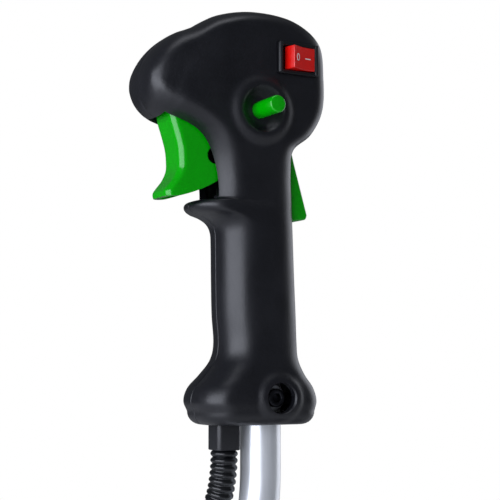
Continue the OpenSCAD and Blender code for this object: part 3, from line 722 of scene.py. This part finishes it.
def key_points():
    """The wedge's outline in x and y, pushed up z."""
    o = np.array(KEY)
    n = len(o)
    p = np.concatenate([np.hstack([o, np.full((n, 1), z)]) for z in (-5.4, 5.4)])
    i = np.arange(n)
    return on_key(p), np.stack([i, (i + 1) % n, (i + 1) % n + n, i + n], -1).tolist() + [i[::-1].tolist(),
                                                                                         (i + n).tolist()]


key = bevelled(mesh_object("rocker_key", *key_points()), 0.45, 4)
finish_piece(key, "rocker", "rocker_red", "rocker")


def face_height(x):
    """How far the key's face stands out at x: it falls from each end to the valley in the middle."""
    return -5.3 - 1.1 * np.abs(x) / 6.85


def ring_mark(cx, wide, tall, line):
    """An oval ring of flat print, a tenth of a millimetre proud: outer and inner ovals at two levels."""
    a = np.linspace(0, 2 * np.pi, 40, endpoint=False)
    parts = []
    for k, lift in ((1, 0.02), (1, -0.1), (0, -0.1), (0, 0.02)):
        x = cx + (wide - (0 if k else line)) * np.cos(a)
        z = (tall - (0 if k else line)) * np.sin(a)
        parts.append(np.stack([x, face_height(x) + lift, z], -1))
    grid = np.array(parts + parts[:1])
    return on_key(grid.reshape(-1, 3)), cells(5, 40, wrap=True)


def bar_mark(x0, x1, half):
    """A bar of flat print."""
    x = np.array([x0, x1, x1, x0])
    z = np.array([-half, -half, half, half])
    p = np.concatenate([np.stack([x, face_height(x) + lift, z], -1) for lift in (0.02, -0.1)])
    return on_key(p), [[0, 1, 2, 3], [7, 6, 5, 4], [0, 4, 5, 1], [1, 5, 6, 2], [2, 6, 7, 3], [3, 7, 4, 0]]


marks = mesh_object("switch_marks", *joined(ring_mark(-4.0, 1.1, 1.75, 0.42), bar_mark(1.2, 4.2, 0.24)))
finish_piece(marks, "rocker", "rocker_red")

# %% [markdown]
# ## The handlebar tube
# Aluminium tube of 19 mm with a 1.5 mm wall. It runs straight up inside the grip, and below it a bend of 60
# mm radius turns it by 50 degrees. A ring with an outer and an inner circle is carried along the path; the
# end faces are closed by a strip between the two.

# %% tube
TUBE_R, TUBE_WALL, BEND_R, BEND_DEG = 9.5, 1.5, 60.0, 50.0
TUBE_S, TUBE_Z = 78.886, -114.172
turns = np.radians(np.linspace(0, BEND_DEG, 40))
bend = np.stack([BEND_R * (1 - np.cos(turns)), 0 * turns, -20 - BEND_R * np.sin(turns)], -1)
straight = np.linspace(92, -19, 24)
upper = np.stack([0 * straight, 0 * straight, straight], -1)
lower = np.linspace(bend[-1], [TUBE_S, 0, TUBE_Z], 20)[1:]
tube_path = bend_points(np.vstack([upper, bend, lower]))
a = np.linspace(0, 2 * np.pi, 80, endpoint=False)
circle = np.stack([np.cos(a), np.sin(a)], -1)
lip = np.zeros(len(tube_path))
lip[[0, -1]] = 0.35
outside = carried(tube_path, (TUBE_R - lip)[:, None, None] * circle)
inside = carried(tube_path, np.full((len(tube_path), 1, 1), TUBE_R - TUBE_WALL) * circle)
n, m = outside.shape[:2]
tube_grid = np.concatenate([outside.reshape(-1, 3), inside.reshape(-1, 3)])
ring0, ring1 = np.append(np.arange(m), 0), np.append(np.arange((n - 1) * m, n * m), (n - 1) * m)
tube_quads = np.concatenate([cells(n, m, wrap=True), cells(n, m, wrap=True, first=n * m)[:, ::-1],
                             strip(ring0, ring0 + n * m), strip(ring1, ring1 + n * m)])
handlebar = mesh_object("aluminium_tube", tube_grid, tube_quads.tolist())
cut(handlebar, turned([(0, -14), (2.75, -14), (2.75, 14), (0, 14)], (BOLT[0], 0, BOLT[1]), "y", 36))
finish_piece(handlebar, "housing", "tube_aluminium", "handlebar_tube", sharp=50)

# %% [markdown]
# ## The conduit block
# The moulded block under the grip that the conduit clips into: a square of 12.4 mm with rounded corners, a
# collar that sits in the grip, and a mouth with a small lip.

# %% block
def square_ring(half, r, z, around=48):
    """A square of half size half with corners of radius r, as a ring of points at height z."""
    turn_ = np.linspace(0, np.pi / 2, around // 4)
    ring = np.concatenate([np.stack([sx * (half - r) + r * np.cos(turn_ + q),
                                     sy * (half - r) + r * np.sin(turn_ + q)], -1)
                           for sx, sy, q in ((1, 1, 0), (-1, 1, np.pi / 2), (-1, -1, np.pi),
                                             (1, -1, 1.5 * np.pi))])
    return np.hstack([ring, np.full((len(ring), 1), z)])


def round_ring(r, z, around=48):
    """A circle sampled at the same count, so it joins the squares."""
    turn_ = np.linspace(0, np.pi / 2, around // 4)
    ring = np.concatenate([np.stack([r * np.cos(turn_ + q), r * np.sin(turn_ + q)], -1)
                           for q in (0, np.pi / 2, np.pi, 1.5 * np.pi)])
    return np.hstack([ring, np.full((len(ring), 1), z)])


block_rings = [
    round_ring(4.9, -10.6), round_ring(5.4, -10.6), square_ring(5.6, 1.9, -10.6), square_ring(5.9, 2.1,
                                                                                              -10.4),
    square_ring(6.0, 2.2, -10.0), square_ring(6.0, 2.2, 3.2), square_ring(7.6, 1, 3.25),
    square_ring(7.6, 1, 5.8), square_ring(6.2, 2.9, 5.85), square_ring(6.2, 2.9, 7.8),
    square_ring(5.9, 2.7, 8), round_ring(4.9, 8)]
block_grid = np.array(block_rings + block_rings[:1]) + [-19, 0, 0]
block = mesh_object("conduit_block", block_grid.reshape(-1, 3),
                    cells(len(block_grid), block_grid.shape[1], wrap=True).tolist())
finish_piece(block, "housing", "inner_plastic", "conduit_adaptor")

# %% [markdown]
# ## The clamp bolt
# A socket-head bolt holds the grip on the tube. It is one grid: the shank, the head with rounded rims, and
# then the radius changes from round to hexagonal for the socket.

# %% bolt
bolt_profile = [
    (0, 17.2), (2.1, 17.2), (2.5, 16.8), (2.5, -12.2), (3.9, -12.2), (4.15, -12.3), (4.25, -12.6), (4.25,
                                                                                                    -15.4),
    (4.1, -15.8), (3.7, -16), (2.6, -16), (2.4, -15.8, 6), (2.3, -15.5, 6), (2.3, -12.6, 6), (0, -12.2)]
bolt = mesh_object("socket_bolt", *turned(bolt_profile, (BOLT[0], 0, BOLT[1]), "y", 72))
finish_piece(bolt, "housing", "blackened_steel", "clamp_bolt")

# %% [markdown]
# ## Colours and finishes
# Colours are given as the hex values that a screen shows and turned to the linear light that the renderer
# works in. One function adds a node and fills its inputs, from numbers or from another node's output.

# %% material helpers
def linear(hex_colour):
    """sRGB to linear: c / 12.92 for very dark values, else ((c + 0.055) / 1.055) ^ 2.4."""
    c = np.array([int(hex_colour[i:i + 2], 16) / 255 for i in (1, 3, 5)])
    return (*np.where(c <= 0.04045, c / 12.92, ((c + 0.055) / 1.055) ** 2.4), 1.0)


def add(tree, kind, inputs=(), **settings):
    """Adds a node, gives it its settings, and fills its inputs with values or links."""
    made = tree.nodes.new(kind)
    for key_, value in settings.items():
        setattr(made, key_, value)
    for socket, value in dict(inputs).items():
        if isinstance(value, bpy.types.NodeSocket):
            tree.links.new(value, made.inputs[socket])
        else:
            made.inputs[socket].default_value = value
    return made


def new_material(name, **sockets):
    """A material with a Principled shader whose plain values are set on its own sockets."""
    material = bpy.data.materials.new(name)
    material.use_nodes = True
    tree = material.node_tree
    shader = tree.nodes["Principled BSDF"]
    for key_, value in sockets.items():
        shader.inputs[key_.replace("_", " ")].default_value = value
    where = add(tree, "ShaderNodeTexCoord").outputs["Object"]
    return material, tree, shader, where


def grained(name, dark, light, rough, grain_mm, bump_mm, patch_mm=14.0, stretch=(1, 1, 1), **sockets):
    """A moulded or cast finish: a fine grain that lifts the surface and breaks up the gloss, over a slow
    patchy
    change of colour. A noise texture's features are about one over its scale, in metres."""
    material, tree, shader, where = new_material(name, **sockets)
    place = add(tree, "ShaderNodeMapping", {"Vector": where, "Scale": stretch}).outputs[0]
    grain = add(tree, "ShaderNodeTexNoise", {"Vector": place, "Scale": 1000 / grain_mm, "Detail": 3.0})
    patch = add(tree, "ShaderNodeTexNoise", {"Vector": where, "Scale": 1000 / patch_mm, "Detail": 4.0})
    both = add(tree, "ShaderNodeMix", {"Factor": 0.45, "A": patch.outputs["Fac"], "B": grain.outputs["Fac"]})
    mix = tree.nodes.new("ShaderNodeMix")
    mix.data_type = "RGBA"
    tree.links.new(both.outputs[0], mix.inputs[0])
    mix.inputs[6].default_value, mix.inputs[7].default_value = linear(dark), linear(light)
    tree.links.new(mix.outputs[2], shader.inputs["Base Color"])
    gloss = add(tree, "ShaderNodeMapRange", {"Value": both.outputs[0], "From Min": 0.3, "From Max": 0.7,
                                             "To Min": rough[0], "To Max": rough[1]})
    tree.links.new(gloss.outputs[0], shader.inputs["Roughness"])
    lift = add(tree, "ShaderNodeBump", {"Height": grain.outputs["Fac"], "Strength": 0.6,
                                        "Distance": bump_mm / 1000})
    tree.links.new(lift.outputs[0], shader.inputs["Normal"])
    return material


# %% [markdown]
# The shells are glass-filled nylon from a spark-eroded mould: nearly black, with a fine even grain that
# spreads the light into broad soft bands. The real grain is about 0.2 mm; it is drawn at 0.7 mm so that it
# shows.

# %% finishes
FINISHES = {
    "shell_nylon": grained("spark_eroded_nylon", "#07080c", "#101118", (0.32, 0.47), 0.8, 0.07, IOR=1.53),
    # anodised tube: the drawing lines run along it, so the grain is stretched
    "tube_aluminium": grained("satin_aluminium_tube", "#cdd1d5", "#eceef0", (0.28, 0.38), 1.2, 0.004, 30,
                              (1, 1, 0.06), Metallic=0.5),
    "inner_plastic": grained("moulded_polyamide", "#101114", "#1b1c20", (0.32, 0.42), 0.9, 0.03, IOR=1.53),
    "blackened_steel": grained("blackened_steel", "#24252a", "#3a3b40", (0.28, 0.4), 0.8, 0.006,
                               Metallic=1.0),
    "zinc_steel": grained("zinc_plated_steel", "#a9adb2", "#c9ccd1", (0.25, 0.38), 0.9, 0.006, Metallic=1.0),
    "spring_steel": grained("spring_wire", "#8a8d92", "#b0b3b8", (0.25, 0.35), 0.5, 0.004, Metallic=1.0),
    # ABS straight from a polished mould: strong colour, sharp highlights, very slight waviness
    "green_plastic": grained("polished_green_abs", "#009400", "#00a602", (0.15, 0.22), 2.4, 0.012, IOR=1.52),
    "switch_black": grained("switch_nylon_black", "#0b0c0e", "#15161a", (0.28, 0.36), 0.8, 0.012, IOR=1.52),
    "rocker_red": grained("rocker_polycarbonate_red", "#c80a06", "#e0160e", (0.2, 0.28), 1.6, 0.008,
                          IOR=1.58),
    "brass_terminals": grained("stamped_brass", "#b08a3a", "#d2ab58", (0.25, 0.4), 0.8, 0.006, Metallic=1.0),
    "red_sleeve": grained("vinyl_sleeve_red", "#8c1a16", "#a8231f", (0.4, 0.5), 0.9, 0.02),
    "cable_jacket": grained("cable_jacket_black", "#121316", "#1c1d21", (0.35, 0.45), 0.8, 0.02),
    "conduit_plastic": grained("conduit_polyamide", "#08090a", "#131417", (0.2, 0.3), 0.9, 0.015, IOR=1.53),
    "tie_nylon": grained("tie_nylon_black", "#0b0c0d", "#16171a", (0.3, 0.4), 0.7, 0.015, IOR=1.53),
    "nipple_brass": grained("turned_brass", "#b78f42", "#d9b264", (0.22, 0.34), 0.6, 0.005, Metallic=1.0),
}
marks_paint = grained("pad_print_white", "#c9b9b6", "#e6dcda", (0.5, 0.6), 0.5, 0.01)

# %% give every piece its finish
PIECE_FINISH = {
    "corrugated_conduit": "conduit_plastic", "left_half": "shell_nylon", "right_half": "shell_nylon",
    "left_posts": "shell_nylon", "right_posts": "shell_nylon", "throttle_trigger": "green_plastic",
    "trigger_hub": "green_plastic", "lever_moulding": "green_plastic", "lock_button_turned": "green_plastic",
    "switch_bezel": "switch_black", "bezel_lips": "switch_black", "switch_case": "switch_black",
    "rocker_key": "rocker_red", "aluminium_tube": "tube_aluminium", "conduit_block": "inner_plastic",
    "socket_bolt": "blackened_steel"}
NODE_FINISH = {
    "tube_end_cap": "inner_plastic", "clamp_washer": "zinc_steel", "clamp_nut": "zinc_steel",
    "housing_screws": "zinc_steel", "trigger_pivot_pin": "zinc_steel", "trigger_spring": "spring_steel",
    "lever_pivot_pin": "zinc_steel",
    "lever_spring": "spring_steel", "button_spring": "spring_steel", "switch_terminals": "brass_terminals",
    "spade_connectors": "red_sleeve", "switch_leads": "cable_jacket", "throttle_wire": "spring_steel",
    "wire_nipple": "nipple_brass", "cable_adjuster": "blackened_steel", "adjuster_nut": "blackened_steel",
    "throttle_cable_outer": "cable_jacket", "coil_ties": "tie_nylon", "conduit_end_cap": "inner_plastic",
    "cable_end_sleeve": "cable_jacket", "cable_end_wire": "spring_steel", "stop_leads": "cable_jacket",
    "stop_connectors": "red_sleeve"}


def wear(thing, material):
    """Puts one material in an object's only slot."""
    thing.data.materials.clear()
    thing.data.materials.append(material)


for name, finish in PIECE_FINISH.items():
    wear(bpy.data.objects[name], FINISHES[finish])
wear(marks, marks_paint)
for name, finish in NODE_FINISH.items():
    wear(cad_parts[name], FINISHES[finish])
print(len(PIECE_FINISH) + 1, "new pieces and", len(NODE_FINISH), "engineering solids finished")

# %% [markdown]
# ## Floor and light
# A plain pale floor lies under the handle. A large soft light stands to the left, a weaker one to the right
# gives the thin bright line on the far edges, and the white room behind is the background.

# %% floor
low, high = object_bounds()
middle = (np.array(low) + np.array(high)) / 2
ring = np.linspace(0, 2 * np.pi, 96, endpoint=False)
disc = np.stack([middle[0] + 1.15 * np.cos(ring), middle[1] + 1.15 * np.sin(ring),
                 np.full(96, low[2] - 0.0005)], -1)
floor_mesh = bpy.data.meshes.new("floor")
floor_mesh.from_pydata(disc.tolist(), [], [list(range(96))])
floor = bpy.data.objects.new("floor", floor_mesh)
bpy.context.collection.objects.link(floor)
wear(floor, grained("pale_floor", "#ececec", "#f2f2f2", (0.6, 0.7), 3, 0.01))

# %% lights
def soft_light(name, azimuth, elevation, distance, wide, tall, power, colour="#ffffff"):
    """A soft box at a direction from the grip's middle, facing it: azimuth 0 is on the switch side."""
    az, el = math.radians(azimuth), math.radians(elevation)
    way = Vector((math.sin(az) * math.cos(el), -math.cos(az) * math.cos(el), math.sin(el)))
    light = bpy.data.lights.new(name, "AREA")
    light.shape, light.size, light.size_y, light.energy = "RECTANGLE", wide, tall, power
    light.color = linear(colour)[:3]
    thing = bpy.data.objects.new(name, light)
    bpy.context.collection.objects.link(thing)
    thing.location = Vector(metres([-5, 0, 90])) + way * distance
    thing.rotation_euler = way.to_track_quat("Z", "Y").to_euler()
    return thing


soft_light("left_soft_box", -66, 4, 1.0, 1.5, 0.85, 17, "#eef2ff")
soft_light("right_edge_light", 102, 8, 1.1, 1.0, 1.0, 5.0, "#f2f5ff")
soft_light("top_soft_box", -20, 80, 1.2, 0.8, 0.6, 3, "#f4f6ff")

world = bpy.data.worlds.new("studio")
bpy.context.scene.world = world
world.use_nodes = True
room = world.node_tree
room.nodes.clear()
seen = add(room, "ShaderNodeBackground", {"Color": (1, 1, 1, 1), "Strength": 1.0})
felt = add(room, "ShaderNodeBackground", {"Color": linear("#e9eef4"), "Strength": 0.11})
ray = add(room, "ShaderNodeLightPath")
blend = add(room, "ShaderNodeMixShader")
room.links.new(ray.outputs["Is Camera Ray"], blend.inputs[0])
room.links.new(felt.outputs[0], blend.inputs[1])
room.links.new(seen.outputs[0], blend.inputs[2])
room.links.new(blend.outputs[0], add(room, "ShaderNodeOutputWorld").inputs[0])
bpy.context.scene.view_settings.view_transform = "Standard"
